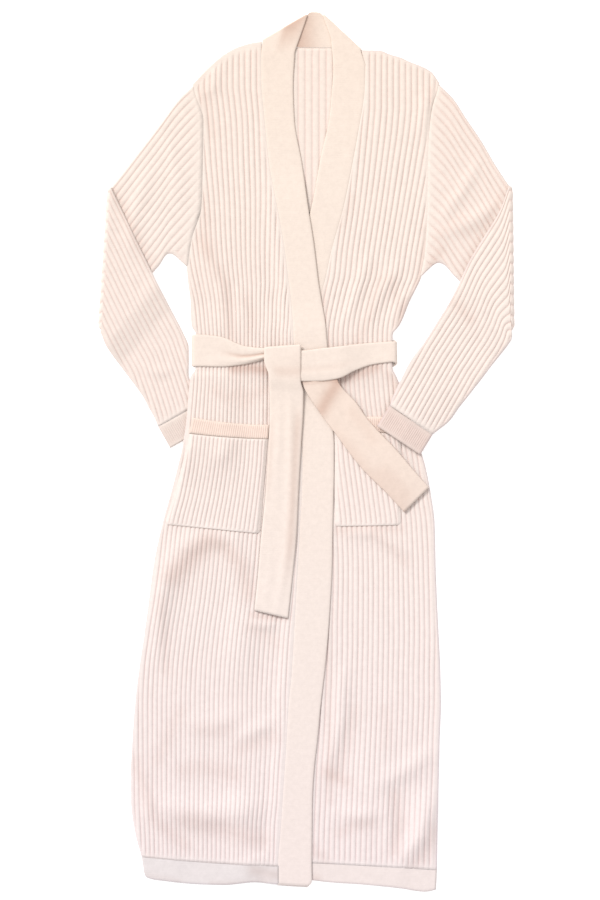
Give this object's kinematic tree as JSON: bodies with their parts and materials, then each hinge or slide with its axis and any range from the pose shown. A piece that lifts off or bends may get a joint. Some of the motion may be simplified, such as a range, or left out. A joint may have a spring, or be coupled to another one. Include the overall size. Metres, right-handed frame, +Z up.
{
  "type": "dressing gown",
  "caption": "Long rib-knit wrap dressing gown laid flat, with a plain shawl band, patch pockets, cuffed sleeves folded in and its own belt tied at the waist.",
  "frame": {"origin": "centre of the garment's bounding box, on the surface that it lies on", "axes": "+Y from hem to neck, +Z up from the surface, +X towards the viewer's right (the wearer's left)"},
  "size_m": [0.6255, 1.3187, 0.0192],
  "materials": {
    "back_panel_knit": "matt rib knit",
    "back_hem_knit": "matt plain double knit",
    "right_front_knit": "matt rib knit",
    "left_front_knit": "matt rib knit",
    "right_hem_knit": "matt plain double knit",
    "left_hem_knit": "matt plain double knit",
    "front_band_knit": "matt plain double knit",
    "right_pocket_knit": "matt rib knit",
    "right_pocket_top_knit": "matt plain double knit",
    "left_pocket_knit": "matt rib knit",
    "left_pocket_top_knit": "matt plain double knit",
    "right_sleeve_knit": "matt rib knit",
    "left_sleeve_knit": "matt rib knit",
    "right_cuff_knit": "matt plain double knit",
    "left_cuff_knit": "matt plain double knit",
    "belt_back_stretch_knit": "matt plain double knit",
    "belt_right_stretch_knit": "matt plain double knit",
    "belt_left_stretch_knit": "matt plain double knit",
    "belt_hanging_end_knit": "matt plain double knit",
    "belt_slanted_end_knit": "matt plain double knit"
  },
  "bodies": {
    "root": {"back_panel": "back_panel_knit", "back_hem": "back_hem_knit", "right_front": "right_front_knit", "left_front": "left_front_knit", "right_hem": "right_hem_knit", "left_hem": "left_hem_knit", "front_band": "front_band_knit", "right_pocket": "right_pocket_knit", "right_pocket_top": "right_pocket_top_knit", "left_pocket": "left_pocket_knit", "left_pocket_top": "left_pocket_top_knit", "right_sleeve": "right_sleeve_knit", "left_sleeve": "left_sleeve_knit", "right_cuff": "right_cuff_knit", "left_cuff": "left_cuff_knit", "belt_back_stretch": "belt_back_stretch_knit", "belt_right_stretch": "belt_right_stretch_knit", "belt_left_stretch": "belt_left_stretch_knit", "belt_hanging_end": "belt_hanging_end_knit", "belt_slanted_end": "belt_slanted_end_knit"}
  },
  "joints": []
}
